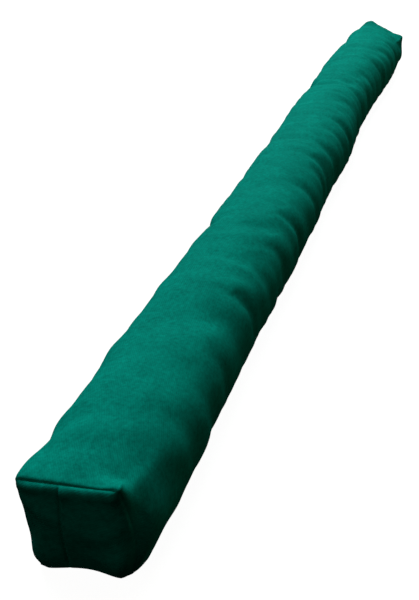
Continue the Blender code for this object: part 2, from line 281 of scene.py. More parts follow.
# The same on the end faces, in mm across from the middle and up from the floor
FACE_DRAGS = table(
    "end from to rise width",
    ("near", (-19, 40), (-6, 32), 2.2, 2.8),
    ("near", (-20, 38), (-8, 27), -0.9, 3),
    ("near", (30, 36), (12, 25), 2.2, 3.2),
    ("near", (23, 46), (8, 40), -0.8, 3),
    ("near", (8, 41), (9, 39), 1.5, 2.4),
    ("near", (-20, 6), (-12, 20), 0.6, 4),
    ("far", (-22, 44), (-6, 32), 0.6, 3),
    ("far", (22, 43), (8, 31), 0.6, 3),
    ("far", (18, 5), (10, 20), 0.5, 4),
)
FACE_DRAG_FADE = 0.5  # power by which they fade towards the face's rim

# Unevenness of the filling and the cloth, in mm: how high, how long, the most waves round the
# tube, and where along it this is fullest and how far it reaches
UNEVEN = table(
    "rise length waves at reach seed",
    (0.22, 46, 5, 130, 400, 3),
    (0.16, 24, 7, 300, 900, 8),
    (0.13, 14, 3, 640, 330, 21),
)
UNEVEN_PARTS = 16  # waves in each row's unevenness
UNEVEN_PITCH = (0.7, 1.6)  # shortest and longest of them, as shares of the row's length
UNEVEN_ENDS = 0.012  # it fades this close to an end seam

# Camera, measured from the middle of the near top seam's floor point
CAMERA_PLACE = (0.16696, -0.24043, 0.27492)
CAMERA_LOOK = (-0.31928, 0.82765, -0.46158)
CAMERA_UP = (-0.04273, 0.47401, 0.87948)
LENS = 51.6
SENSOR = 36.0


def eased(share):
    """0 to 1, with no slope at either end."""
    share = np.clip(share, 0.0, 1.0)
    return share * share * (3 - 2 * share)


def arched(share):
    """0 at both ends of a share from 0 to 1, and 1 in its middle."""
    return np.sin(np.pi * np.clip(share, 0.0, 1.0))


def hill(distance, size):
    """1 at no distance, falling to nothing over about twice the size."""
    return np.exp(-((distance / size) ** 2))


def read_table(rows, column, along):
    """A smooth curve through one column of a table, at distances along the tube."""
    at = np.array([row["at"] for row in rows]) * MM
    values = np.array([row[column] for row in rows]) * MM
    after = np.clip(np.searchsorted(at, along, side="right"), 1, len(at) - 1)
    share = (along - at[after - 1]) / (at[after] - at[after - 1])
    return values[after - 1] + (values[after] - values[after - 1]) * eased(share)


def unit_square(turn):
    """Points on the square from -1 to 1."""
    side = np.floor(turn % 4).astype(int)
    step = 2 * (turn % 1) - 1
    one = np.ones_like(step)
    return (
        np.choose(side, (step, one, -step, -one)),
        np.choose(side, (one, -step, -one, step)),
    )


def unit_oval(turn):
    """Points of the filled section, from -1 to 1."""
    across, up = unit_square(turn)
    angle = np.arctan2(up, across)
    power = 2 / np.where(up > 0, np.where(across < 0, LEFT_POWER, RIGHT_POWER), LOW_POWER)
    cosine, sine = np.cos(angle), np.sin(angle)
    return np.sign(cosine) * abs(cosine) ** power, np.sign(sine) * abs(sine) ** power


def add_object(name, data):
    """An object of some data, linked to the scene."""
    made = bpy.data.objects.new(name, data)
    bpy.context.scene.collection.objects.link(made)
    return made


def from_end(along):
    """Distance from the nearer end's seam."""
    return np.minimum(along, LENGTH - along)


def bulge_at(along, across, height_share):
    """How far the flank of a square end stands out."""
    near, far = (np.where(across < 0, *END_BULGES[end]) for end in ENDS)
    return np.where(along < LENGTH / 2, near, far) * MM * arched(height_share)


def rounding_at(height_share, across):
    """Radius of a soft upright edge: none at the seams, fullest half way up."""
    radius = np.where(across < 0, LEFT_ROUNDING, RIGHT_ROUNDING)
    power = np.where((across >= 0) & (height_share > 0.5), UPPER_ROUNDING, 1.0)
    return radius * np.maximum(arched(height_share), 0.0) ** power


def rounded_flank(along, radius):
    """How far a flank's points move in and along where it turns onto the end face."""
    reach = np.clip(along / np.maximum(radius, TINY), 0.0, 1.0)
    angle = np.pi / 4 * (1 + reach)
    held = along < radius
    inward = np.where(held, radius * (1 - np.sin(angle)), 0.0)
    onward = np.where(held, radius * (1 - np.cos(angle)) - along, 0.0)
    return inward, onward


def rounded_face(from_edge, radius):
    """How far an end face's points move outward and back beside its soft upright edge."""
    reach = np.clip(from_edge / np.maximum(radius, TINY), 0.0, 1.0)
    angle = np.pi / 4 * (1 - reach)
    held = from_edge < radius
    outward = np.where(held, from_edge - radius * (1 - np.sin(angle)), 0.0)
    back = np.where(held, radius * (1 - np.cos(angle)), 0.0)
    return outward, back


def sagged(z, height):
    """Heights after the filling has flattened the underside."""
    return np.maximum((z - SAG) * height / (height - SAG), 0.0)


def seam_puff(distance):
    """Height of the cloth beside a seam that draws it in."""
    return SEAM_PUFF * (1 - np.exp(-distance / PUFF_REACH))


def fold_depth(along, turn):
    """Depth of all the folds that cross the tube."""
    depth = np.zeros(np.broadcast(along, turn).shape)
    for fold in FOLDS:
        middle = (fold["start"] + fold["stop"]) / 2
        place = (turn - middle + 2) % 4 + middle - 2
        reach = (place - fold["start"]) / (fold["stop"] - fold["start"])
        apart = along - (fold["at"] + fold["lean"] * (place - 1)) * MM
        width = fold["width"] * MM
        trough = hill(apart, width) - FOLD_SHOULDER * hill(apart, 2 * width)
        crossing = 1 - FLAT_TOP * hill(place - FLAT_TOP_AT, FLAT_TOP_REACH)
        depth += fold["depth"] * MM * trough * crossing * arched(reach) ** FOLD_FULLNESS
    return depth


def slid(along, turn):
    """Turns slid round the tube, so that its middle lines meet the near end's closing seam."""
    side, share = np.floor(turn), turn % 1
    slide = np.where(side % 2 == 1, 0.0, np.where(side == 0, CLOSING_TOP, -CLOSING_LOW))
    slide = slide / SEAM_WIDTH * (1 - eased(along / CLOSING_SLIDE))
    return side + share + slide * 4 * share * (1 - share)


def tube_points(along, turn):
    """Points of the tube's wall, before its corners and the far end's turn."""
    along, turn = np.broadcast_arrays(along, turn)
    turn = slid(along, turn)
    box_x, box_z = unit_square(turn)
    oval_x, oval_z = unit_oval(turn)
    square = 1 - eased(from_end(along) / BOX_REACH)
    soft_ear = (box_x > 0) & (box_z > 0) & (along < LENGTH / 2)
    corner_reach = np.where(soft_ear, RIGHT_EAR_REACH, CORNER_REACH)
    sharp = 1 - eased(from_end(along) / corner_reach)
    width = BODY_WIDTH + (SEAM_WIDTH - BODY_WIDTH) * square
    height = BODY_HEIGHT + (END_HEIGHT - BODY_HEIGHT) * square
    across = sharp * box_x + (1 - sharp) * oval_x
    up = sharp * box_z + (1 - sharp) * oval_z
    height_share = (1 + up) / 2

    left, right = (read_table(FULLNESS, flank, along) for flank in ("left", "right"))
    swell = np.where(across < 0, left, right) * (1 - square * (1 - arched(height_share)))
    dent = fold_depth(along, turn) * (1 - square)
    bulge = bulge_at(along, across, height_share) * square
    x = across * (width / 2 + swell + bulge - dent)
    arch = read_table(FULLNESS, "top", along) * (1 - square * across * across)
    lift = arch - dent + seam_puff(from_end(along))
    z = height * height_share + lift * np.maximum(up, 0.0)
    z = sagged(z, height)

    inward, onward = rounded_flank(from_end(along), rounding_at(height_share, across))
    steepness = abs(across) ** EDGE_SHARPNESS
    x = x - np.sign(across) * inward * steepness
    y = along + np.sign(LENGTH / 2 - along) * onward * steepness
    return np.stack((x, y, z), axis=-1)


def face_points(across_share, down_share, end):
    """Points of an end face; the shares run from 0 to 1 from its top left corner."""
    across_share, down_share = np.broadcast_arrays(across_share, down_share)
    height_share = 1 - down_share
    if end == "near":
        slide = (CLOSING_TOP + (CLOSING_LOW - CLOSING_TOP) * down_share) / SEAM_WIDTH
        across_share = across_share + slide * 4 * across_share * (1 - across_share)
    side = 2 * across_share - 1
    at = 0.0 if end == "near" else LENGTH
    half_width = SEAM_WIDTH / 2 + bulge_at(at, side, height_share)
    outward, back = rounded_face(half_width * (1 - abs(side)), rounding_at(height_share, side))
    x = side * half_width + np.sign(side) * outward
    z = sagged(END_HEIGHT * height_share, END_HEIGHT)

    bow = arched(across_share)
    out = FACE_CROWN * (bow * arched(down_share)) ** FACE_FULLNESS
    out = out + seam_puff(down_share * END_HEIGHT) * bow**PUFF_FULLNESS * height_share
    for lobe in LOBES:
        if lobe["end"] == end:
            distance = np.hypot(x - lobe["across"] * MM, z - lobe["height"] * MM)
            rise = hill(distance, lobe["size"] * MM)
            fade = np.minimum(1, LOBE_FADE * down_share) * np.minimum(1, LOBE_FADE * bow)
            out = out + lobe["out"] * MM * rise * fade
    off = out - back
    y = -off if end == "near" else LENGTH + off
    return np.stack((x, y, z), axis=-1)


def with_corners(points):
    """The points after the corners of the boxed ends have been drawn out or in."""
    moved = points.copy()
    for row in CORNERS:
        far = row["end"] == "far"
        corner = np.array((row["side"] * SEAM_WIDTH / 2, LENGTH * far, END_HEIGHT * row["level"]))
        pull = hill(np.linalg.norm(points - corner, axis=-1), row["size"] * MM) * MM
        off = row["off"] if far else -row["off"]
        moved += np.array((row["side"] * row["out"], off, row["up"])) * pull[..., None]
    return moved


def with_twist(points):
    """The points after the far end has turned over to the right, more at its top."""
    x, y, z = np.moveaxis(points, -1, 0)
    share = eased((y - LENGTH + TWIST_REACH) / TWIST_REACH)
    height_share = np.minimum(z / END_HEIGHT, 1.0)
    angle = TWIST * share * (TWIST_LOW_SHARE + (1 - TWIST_LOW_SHARE) * height_share)
    cosine, sine = np.cos(angle), np.sin(angle)
    up = z - END_HEIGHT / 2
    turned = cosine * x + sine * up
    lifted = END_HEIGHT / 2 - sine * x + cosine * up
    return np.stack((turned, y, np.maximum(lifted, 0.0)), axis=-1)


def settled(points):
    """Points of the plain form, moved to where they lie."""
    return with_twist(with_corners(points))


# Relief of the cloth over the settled form
def line_hill(x, y, row, stretch=1):
    """A hill along a line from one place to another, lower towards the second."""
    (x0, y0), (x1, y1) = row["from"], row["to"]
    y0, y1 = y0 * stretch, y1 * stretch
    length = math.hypot(x1 - x0, y1 - y0)
    share = ((x - x0) * (x1 - x0) + (y - y0) * (y1 - y0)) / length**2
    share = np.clip(share, 0.0, 1.0)
    apart = np.hypot(x - x0 - share * (x1 - x0), y - y0 - share * (y1 - y0))
    return row["rise"] * MM * hill(apart, row["width"]) * (1 - DRAG_FADE * share)


def seam_groove(distance, across):
    """Depth of a boxed end's seam, which fades at its ears."""
    return SEAM_DEPTH * hill(distance, SEAM_HALF) * (1 - abs(across) ** SEAM_FADE)


def puckers(distance, across):
    """Small gathers that a seam draws into the cloth beside it."""
    drift = PUCKER_DRIFT * across**2
    wave = np.sin(2 * math.pi * across * SEAM_WIDTH / 2 / PUCKER_PITCH + drift)
    near_seam = (1 - np.exp(-distance / SEAM_HALF)) * np.exp(-distance / PUCKER_REACH)
    return PUCKER_RISE * wave * near_seam * (1 - across**PUCKER_FADE)


def unevenness(along, turn, row):
    """Smooth random swells that close up round the tube."""
    random = np.random.default_rng(row["seed"])
    total = np.zeros(np.broadcast(along, turn).shape)
    for _ in range(UNEVEN_PARTS):
        pitch = row["length"] * MM * random.uniform(*UNEVEN_PITCH)
        waves = random.integers(-row["waves"], row["waves"] + 1)
        phase = random.uniform(0, 2 * math.pi)
        total += np.cos(2 * math.pi * (along / pitch + waves * turn / 4) + phase)
    fullest = hill(along - row["at"] * MM, row["reach"] * MM)
    return row["rise"] * MM * total / math.sqrt(UNEVEN_PARTS / 2) * fullest


def tube_relief(along, turn):
    """How far the tube's cloth stands out from the settled form."""
    along, turn = np.broadcast_arrays(along, turn)
    rise = np.zeros(along.shape)
    from_top = (turn - 0.5 + 2) % 4 - 2
    ends = eased(from_end(along) / UNEVEN_ENDS)
    for row in UNEVEN:
        rise += unevenness(along, turn, row) * ends
    side_length = GIRTH / 4 / MM
    for row in DRAGS:
        rise += line_hill(along / MM, from_top * side_length, row, side_length)
    across = 2 * (turn % 1) - 1
    seamed = (turn % 2) <= 1.0
    seam = puckers(from_end(along), across) * (turn <= 1) - seam_groove(from_end(along), across)
    rise += np.where(seamed, seam, 0.0)
    apart = (turn - CASING_SEAM) * GIRTH / 4
    return rise - CLOSING_DEPTH * hill(apart, CLOSING_HALF)


def face_relief(across_share, down_share, end):
    """The same for an end face's cloth."""
    across_share, down_share = np.broadcast_arrays(across_share, down_share)
    side = 2 * across_share - 1
    x, z = side * SEAM_WIDTH / 2, (1 - down_share) * END_HEIGHT
    rise = np.zeros(x.shape)
    for row in FACE_DRAGS:
        if row["end"] == end:
            rise += line_hill(x / MM, z / MM, row)
    rise *= arched(across_share) ** FACE_DRAG_FADE * arched(down_share) ** FACE_DRAG_FADE
    below = down_share * END_HEIGHT
    share = eased(side / LIP_CHANGE + 0.5)
    lip = (LIP_AT, LIP_SIZE, LIP_FADE)
    at, size, power = (left + (right - left) * share for left, right in lip)
    wave = 1 + LIP_WAVE * np.sin(2 * math.pi * (x / LIP_PITCH + side**2))
    rise += LIP_RISE * wave * hill(below - at, size) * (1 - abs(side) ** power)
    rise += puckers(below, side) - seam_groove(below, side) - seam_groove(z, side)
    flip = 1 if end == "near" else -1
    proud = np.where(x * flip > 0, np.exp(-abs(x) / CLOSING_REACH), 0.0)
    middle = CLOSING_STEP * proud * eased(abs(x) / CLOSING_EDGE)
    middle = middle - CLOSING_DEPTH * hill(x, CLOSING_HALF)
    top, foot = CLOSING_ENDS
    return rise + middle * eased(below / top) * eased(z / foot)


def cells(grid):
    """The four corners of each cell of a grid, in order round it."""
    corners = (grid[:-1, :-1], grid[:-1, 1:], grid[1:, 1:], grid[1:, :-1])
    return np.stack(corners, axis=2).reshape(-1, 4, *grid.shape[2:])


class Casing:
    """The casing's points, as a grid of rings and one grid for each end face."""

    def __init__(self, rings, top, flank):
        """rings are distances along the tube; top and flank are shares of a side, 0 to 1."""
        self.rings, self.top, self.flank = rings, top, flank
        steps = (top[:-1], 1 + flank[:-1], 2 + top[:-1], 3 + flank[:-1])
        self.turns = np.concatenate(steps)
        self.tube = settled(tube_points(rings[:, None], self.turns[None, :]))
        self.faces = {
            end: settled(face_points(top[None, :], flank[:, None], end)) for end in ENDS
        }
        self.meet()

    def rims(self, ring):
        """The parts of a ring along an end face's top, right, bottom and left edge."""
        across, down = len(self.top) - 1, len(self.flank) - 1
        return (
            ring[: across + 1],
            ring[across : across + down + 1],
            ring[across + down : 2 * across + down + 1][::-1],
            np.concatenate((ring[:1], ring[2 * across + down :][::-1])),
        )

    def meet(self):
        """Gives the end faces' rims the places of the rings that they meet."""
        for end, ring in (("near", self.tube[0]), ("far", self.tube[-1])):
            face = self.faces[end]
            face[0], face[:, -1], face[-1], face[:, 0] = self.rims(ring)

    def points(self):
        """All the points as one list: the rings, then the inner points of each end face."""
        inner = [self.faces[end][1:-1, 1:-1].reshape(-1, 3) for end in ENDS]
        return np.concatenate([self.tube.reshape(-1, 3), *inner])

    def take(self, points):
        """Reads the points back from such a list."""
        count = self.tube.shape[0] * self.tube.shape[1]
        self.tube = points[:count].reshape(self.tube.shape)
        rows, columns = len(self.flank) - 2, len(self.top) - 2
        for end in ENDS:
            inner = points[count : count + rows * columns]
            self.faces[end][1:-1, 1:-1] = inner.reshape(rows, columns, 3)
            count += rows * columns
        self.meet()

    def face_numbers(self, end):
        """The number of each point of an end face in that list."""
        place, columns = ENDS.index(end), len(self.turns)
        down, across = len(self.flank), len(self.top)
        numbers = np.zeros((down, across), int)
        rims = self.rims(place * (len(self.rings) - 1) * columns + np.arange(columns))
        numbers[0], numbers[:, -1], numbers[-1], numbers[:, 0] = rims
        inner = np.arange((down - 2) * (across - 2)).reshape(down - 2, across - 2)
        numbers[1:-1, 1:-1] = len(self.rings) * columns + place * inner.size + inner
        return numbers

    def relief(self):
        """How far each point of the list stands out from the settled form."""
        tube = tube_relief(self.rings[:, None], self.turns[None, :])
        inner = [
            face_relief(self.top[None, :], self.flank[:, None], end)[1:-1, 1:-1].ravel()
            for end in ENDS
        ]
        return np.concatenate([tube.ravel(), *inner])

    def outward(self):
        """The direction in which each point of the list faces."""
        points, quads = self.points(), self.quads()[0]
        a, b, c, d = (points[quads[:, corner]] for corner in range(4))
        facing = np.cross(c - a, d - b)
        normals = np.zeros(points.shape)
        for corner in range(4):
            np.add.at(normals, quads[:, corner], facing)
        return normals / np.linalg.norm(normals, axis=1, keepdims=True)

    def girth_places(self):
        """A ring's points from the casing seam round to it, and how far round from the top."""
        first = int(np.argmin(abs(self.turns - CASING_SEAM)))
        order = (first + np.arange(len(self.turns) + 1)) % len(self.turns)
        steps = np.linalg.norm(np.diff(self.tube[:, order], axis=1), axis=2)
        places = np.concatenate((np.zeros((len(self.rings), 1)), np.cumsum(steps, axis=1)), axis=1)
        top = int(np.flatnonzero(order == np.argmin(abs(self.turns - 0.5)))[0])
        return order, places - places[:, top : top + 1]

    def quads(self):
        """The faces as numbers of points, and each corner's place on the flat cloth."""
        order, girth = self.girth_places()
        numbers = np.arange(len(self.rings))[:, None] * len(self.turns) + order
        along = np.broadcast_to(self.rings[:, None], girth.shape)
        quads, places = [cells(numbers)], [cells(np.stack((along, girth), -1))]
        ring_turns = (self.turns[order[:-1]] - CASING_SEAM) % 4
        shape = len(self.flank), len(self.top)
        side = cells(np.broadcast_to(2 * self.top - 1, shape))
        low = cells(np.broadcast_to(self.flank[:, None], shape))
        beyond = (1 - abs(side)) * SEAM_WIDTH / 2
        turn = np.where(side.mean(-1, keepdims=True) > 0, 1 + low, 4 - low) - CASING_SEAM
        for end, rim, u, way in (
            ("near", girth[0], -beyond, (0, 3, 2, 1)),
            ("far", girth[-1], LENGTH + beyond, (1, 2, 3, 0)),
        ):
            v = np.interp(turn % 4, ring_turns, rim[:-1])
            quads.append(cells(self.face_numbers(end))[:, way])
            places.append(np.stack((u, v), -1)[:, way])
        return np.concatenate(quads), np.concatenate(places)


# Steps of the fine grid
SHORTEST_STEP = 0.5 * MM  # beside a seam
LONGEST_STEP = 2.2 * MM
STEP_GROWTH = 1.35  # of each step over the one before


def graded(length):
    """Shares from 0 to 1 of a length, closer together at both of its ends."""
    steps, step = [], SHORTEST_STEP
    while 2 * (sum(steps) + step) < length and step < LONGEST_STEP:
        steps.append(step)
        step *= STEP_GROWTH
    middle = length - 2 * sum(steps)
    count = max(1, round(middle / LONGEST_STEP))
    steps = steps + [middle / count] * count + steps[::-1]
    places = np.concatenate(([0.0], np.cumsum(steps)))
    return places / places[-1]


def cubic_weights(shares, count, closed=False):
    """Weights of a smooth cubic curve through evenly spaced values, at shares from 0 to 1."""
    spans = count if closed else count - 1
    place = shares * spans
    cell = np.clip(np.floor(place).astype(int), 0, spans - 1)
    t = place - cell
    parts = (
        -0.5 * t + t**2 - 0.5 * t**3,
        1 - 2.5 * t**2 + 1.5 * t**3,
        0.5 * t + 2 * t**2 - 1.5 * t**3,
        -0.5 * t**2 + 0.5 * t**3,
    )
    weights = np.zeros((len(shares), count))
    for offset, part in zip((-1, 0, 1, 2), parts):
        knot = (cell + offset) % count if closed else np.clip(cell + offset, 0, count - 1)
        np.add.at(weights, (np.arange(len(shares)), knot), part)
    return weights


def mesh_from(name, casing):
    """A closed mesh object of a casing, with its cloth places as a UV map."""
    quads, places = casing.quads()
    data = bpy.data.meshes.new(name)
    data.from_pydata(casing.points().tolist(), [], quads.tolist())
    data.uv_layers.new(name="cloth").data.foreach_set("uv", places.astype(np.float32).ravel())
    data.shade_smooth()
    return add_object(name, data)


# The filling swells a coarse copy of the casing
COARSE = 0.0034  # size of its cells
SPARE_CLOTH = 0.014  # spare size of the cloth, as a share
FILLING_PRESSURE = 2.0
SWELL_FRAMES = 20
LAID = 0.0002  # points lower than this lie on the floor and are held
MOST_MOVE = 0.0020  # cap on how far a point moves
BROAD = 0.030  # moves broader than this along the tube are the fitted form's own
END_HOLD = 0.014  # the moves fade this close to an end seam
FACE_SHARE = 0.5  # share of the end faces' moves that is kept
SHOULDER = 1.25  # turn of the right shoulder, where the wrinkles are strongest
SHOULDER_REACH = 0.60
LEAST_WRINKLED = 0.40  # share of the wrinkles that is kept far from it

# Share of the tube's moves that is kept, in thousandths, at distances along it
WRINKLED = table("at share", (0, 150), (70, 250), (200, 380), (450, 450), (900, 480))


def swollen_moves(coarse):
    """Lets the filling swell a coarse casing as cloth, and returns how far its points move."""
    before = coarse.points()
    cloth_piece = mesh_from("swelling", coarse)
    held = before[:, 2] < LAID
    for end in ENDS:
        numbers = coarse.face_numbers(end)
        held[numbers[0]] = held[numbers[-1]] = True
        held[numbers[:, numbers.shape[1] // 2]] = True
    group = cloth_piece.vertex_groups.new(name="held")
    group.add(np.flatnonzero(held).tolist(), 1.0, "REPLACE")
    settings = cloth_piece.modifiers.new("filling", "CLOTH").settings
    settings.use_pressure = True
    settings.uniform_pressure_force = FILLING_PRESSURE
    settings.effector_weights.gravity = 0
    settings.vertex_group_mass = "held"
    settings.shrink_min = -SPARE_CLOTH
    scene = bpy.context.scene
    for frame in range(1, SWELL_FRAMES + 1):
        scene.frame_set(frame)
    evaluated = cloth_piece.evaluated_get(bpy.context.evaluated_depsgraph_get())
    after = np.zeros(before.size, np.float32)
    evaluated.data.vertices.foreach_get("co", after)
    bpy.data.objects.remove(cloth_piece)
    scene.frame_set(1)
    return after.reshape(-1, 3) - before


def wrinkles_only(moves, coarse):
    """Takes the broad part off the tube's moves, fades them at the ends and caps them."""
    apart = coarse.rings[:, None] - coarse.rings[None, :]
    weights = hill(apart, BROAD)
    weights /= weights.sum(axis=1, keepdims=True)
    fine = moves.tube - np.einsum("ai,ijk->ajk", weights, moves.tube)
    share = read_table(WRINKLED, "share", coarse.rings) * eased(from_end(coarse.rings) / END_HOLD)
    apart = (coarse.turns - SHOULDER + 2) % 4 - 2
    around = LEAST_WRINKLED + (1 - LEAST_WRINKLED) * hill(apart, SHOULDER_REACH)
    moves.tube = fine * share[:, None, None] * around[None, :, None]
    fade = arched(coarse.flank[1:-1, None]) * abs(np.sin(2 * np.pi * coarse.top[None, 1:-1]))
    for end in ENDS:
        moves.faces[end][1:-1, 1:-1] *= FACE_SHARE * fade[..., None]
    moves.meet()
    points = moves.points()
    size = np.linalg.norm(points, axis=1, keepdims=True)
    moves.take(points * np.tanh(size / MOST_MOVE) * MOST_MOVE / np.maximum(size, TINY))


def swell(fine):
    """Adds the coarse casing's moves to the fine one."""
    sizes = (LENGTH, SEAM_WIDTH, END_HEIGHT)
    along, across, down = (np.linspace(0, 1, round(size / COARSE) + 1) for size in sizes)
    coarse = Casing(along * LENGTH, across, down)
    moves = Casing(along * LENGTH, across, down)
    moves.take(swollen_moves(coarse))
    wrinkles_only(moves, coarse)
    along = cubic_weights(fine.rings / LENGTH, len(coarse.rings))
    around = side_weights(fine, coarse)
    fine.tube = fine.tube + np.einsum("ai,bj,ijk->abk", along, around, moves.tube, optimize=True)
    down = cubic_weights(fine.flank, len(coarse.flank))
    across = cubic_weights(fine.top, len(coarse.top))
    for end in ENDS:
        add = np.einsum("ai,bj,ijk->abk", down, across, moves.faces[end], optimize=True)
        fine.faces[end] = fine.faces[end] + add
    fine.meet()


def side_weights(fine, coarse):
    """Weights round the section, whose four sides have cells of their own size."""
    side = np.floor(fine.turns).astype(int)
    counts = np.array([len(coarse.top) - 1, len(coarse.flank) - 1] * 2)
    starts = np.concatenate(([0], np.cumsum(counts)[:-1]))
    total = counts.sum()
    place = starts[side] + (fine.turns - side) * counts[side]
    return cubic_weights(place / total, total, closed=True)


def build_casing(low, high):
    """The filled casing, in the place of the CAD node's box."""
    half = graded(SEAM_WIDTH / 2) / 2
    top = np.concatenate((half, 0.5 + half[1:]))  # fine at the closing seam too
    fine = Casing(graded(LENGTH) * LENGTH, top, graded(END_HEIGHT))
    points = fine.points()
    middle = (points.min(0) + points.max(0)) / 2
    offset = np.array(((low.x + high.x) / 2 - middle[0], (low.y + high.y) / 2 - middle[1], 0.0))
    swell(fine)
    points = fine.points() + fine.outward() * fine.relief()[:, None]
    points[:, 2] = np.maximum(points[:, 2], 0.0)
    fine.take(points + offset)
    return mesh_from("twill_casing", fine), fine, offset


# Thread of the seams
STITCH_PITCH = 0.0027
STITCH_LENGTH = 0.0019
THREAD = 0.00034  # its thickness
STITCH_LIFT = 0.00012  # of the thread over the bottom of its seam
STITCH_ASKEW = 0.25  # most that a stitch is turned off its seam, in radians
STITCH_SEED = 5
STITCH_SIDES = 4
STITCH_RINGS = (-1.0, -0.8, -0.3, 0.3, 0.8, 1.0)  # shares of its half length
STITCH_TIP = 0.12  # share of the thread's section at a stitch's ends
STITCH_DIP = 1.2  # how far those ends go down, in thicknesses
FREE_STEPS = 4  # steps of the grid at the ends of a seam that have no stitch


def seam_paths(fine):
    """The lines of all the seams, as lists of points and of the directions they face."""
    outward = Casing(fine.rings, fine.top, fine.flank)
    outward.take(fine.outward())
    middle = (len(fine.top) - 1) // 2
    lengthways = int(np.argmin(abs(fine.turns - CASING_SEAM)))
    paths = [(fine.tube[:, lengthways], outward.tube[:, lengthways])]
    for end in ENDS:
        face, facing = fine.faces[end], outward.faces[end]
        paths += [(face[0], facing[0]), (face[-1], facing[-1])]
        paths.append((face[:, middle], facing[:, middle]))
    inner = slice(FREE_STEPS, -FREE_STEPS)
    return [(line[inner], facing[inner]) for line, facing in paths]


def stitch_shape():
    """One stitch: a short thread whose ends go down into the cloth."""
    points, quads = [], []
    for share in STITCH_RINGS:
        radius = THREAD / 2 * math.sqrt(max(1 - share**4, STITCH_TIP))
        drop = THREAD * share**2 * STITCH_DIP
        for side in range(STITCH_SIDES):
            angle = 2 * math.pi * (side + 0.5) / STITCH_SIDES
            y, z = radius * math.cos(angle), radius * math.sin(angle)
            points.append((share * STITCH_LENGTH / 2, y, z - drop))
    last = STITCH_SIDES * (len(STITCH_RINGS) - 1)
    for first in range(0, last, STITCH_SIDES):
        for side in range(STITCH_SIDES):
            a, b = first + side, first + (side + 1) % STITCH_SIDES
            quads.append((a, b, b + STITCH_SIDES, a + STITCH_SIDES))
    quads += [tuple(range(STITCH_SIDES))[::-1], tuple(range(last, last + STITCH_SIDES))]
    data = bpy.data.meshes.new("stitch")
    data.from_pydata(points, [], quads)
    return add_object("stitch", data)


def feed(tree, socket, value):
    """Gives a socket a value, or a link from another socket or from a node's first output."""
    if isinstance(value, Socket):
        value = value.output
    if isinstance(value, bpy.types.Node):
        value = value.outputs[0]
    if isinstance(value, bpy.types.NodeSocket):
        tree.links.new(value, socket)
    else:
        socket.default_value = value


def add_node(tree, kind, inputs=None, **settings):
    """Adds a node: its settings first, then the values or links of its sockets."""
    made = tree.nodes.new(kind)
    for name, value in settings.items():
        setattr(made, name, value)
    for name, value in (inputs or {}).items():
        feed(tree, made.inputs[name], value)
    return made


def thread_tree(stitch, finish):
    """Geometry Nodes that lay a stitch on every pitch of a seam's line."""
    tree = bpy.data.node_groups.new("seam_stitches", "GeometryNodeTree")
    kinds = {"Geometry": "Geometry", "Pitch": "Float", "Turn range": "Float", "Seed": "Int"}
    for name, kind in kinds.items():
        tree.interface.new_socket(name, in_out="INPUT", socket_type="NodeSocket" + kind)
    tree.interface.new_socket("Geometry", in_out="OUTPUT", socket_type="NodeSocketGeometry")

    def node(kind, inputs=None, **settings):
        return add_node(tree, kind, inputs, **settings)

    given = node("NodeGroupInput").outputs
    curve = node("GeometryNodeMeshToCurve", {"Mesh": given["Geometry"]})
    spacing = {"Curve": curve, "Length": given["Pitch"]}
    even = node("GeometryNodeResampleCurve", spacing, mode="LENGTH")
    facing = node("GeometryNodeInputNamedAttribute", {"Name": "facing"}, data_type="FLOAT_VECTOR")
    upright = node("FunctionNodeAlignRotationToVector", {"Vector": facing}, axis="Z")
    along = {"Rotation": upright, "Vector": node("GeometryNodeInputTangent")}
    turned = node("FunctionNodeAlignRotationToVector", along, axis="X", pivot_axis="Z")
    back = node("ShaderNodeMath", {0: given["Turn range"], 1: -1.0}, operation="MULTIPLY")
    drawn = {2: back, 3: given["Turn range"], "Seed": given["Seed"]}
    random = node("FunctionNodeRandomValue", drawn, data_type="FLOAT")
    bend = node("ShaderNodeCombineXYZ", {"Z": random.outputs[1]})
    askew = node("FunctionNodeEulerToRotation", {0: bend})
    placed = node("FunctionNodeRotateRotation", {0: turned, 1: askew}, rotation_space="LOCAL")
    shape = node("GeometryNodeObjectInfo", {"Object": stitch}).outputs["Geometry"]
    instances = {"Points": even, "Instance": shape, "Rotation": placed}
    laid = node("GeometryNodeInstanceOnPoints", instances)
    real = node("GeometryNodeRealizeInstances", {0: laid})
    finished = node("GeometryNodeSetMaterial", {"Geometry": real, "Material": finish})
    node("NodeGroupOutput", {0: finished})
    return tree


def sew(fine, finish):
    """The thread in all the seams, as one piece."""
    points, facing, edges = [], [], []
    for path, directions in seam_paths(fine):
        first = len(points)
        laid = path + directions * STITCH_LIFT
        laid[:, 2] = np.maximum(laid[:, 2], THREAD)
        points += laid.tolist()
        facing += directions.tolist()
        edges += [(first + step, first + step + 1) for step in range(len(path) - 1)]
    data = bpy.data.meshes.new("seam_lines")
    data.from_pydata(points, edges, [])
    data.attributes.new("facing", "FLOAT_VECTOR", "POINT").data.foreach_set(
        "vector", np.array(facing, np.float32).ravel()
    )
    lines = add_object("seam_lines", data)
    stitch = stitch_shape()
    tree = thread_tree(stitch, finish)
    laying = lines.modifiers.new("stitches", "NODES")
    laying.node_group = tree
    values = {"Pitch": STITCH_PITCH, "Turn range": STITCH_ASKEW, "Seed": STITCH_SEED}
    for item in tree.interface.items_tree:
        if item.in_out == "INPUT" and item.name in values:
            laying[item.identifier] = values[item.name]
    evaluated = lines.evaluated_get(bpy.context.evaluated_depsgraph_get())
    mesh = bpy.data.meshes.new_from_object(evaluated)
    mesh.name = "seam_thread"
    lines.modifiers.remove(laying)
    for spare in (lines, stitch):
        bpy.data.objects.remove(spare)
    mesh.shade_smooth()
    return add_object("seam_thread", mesh)


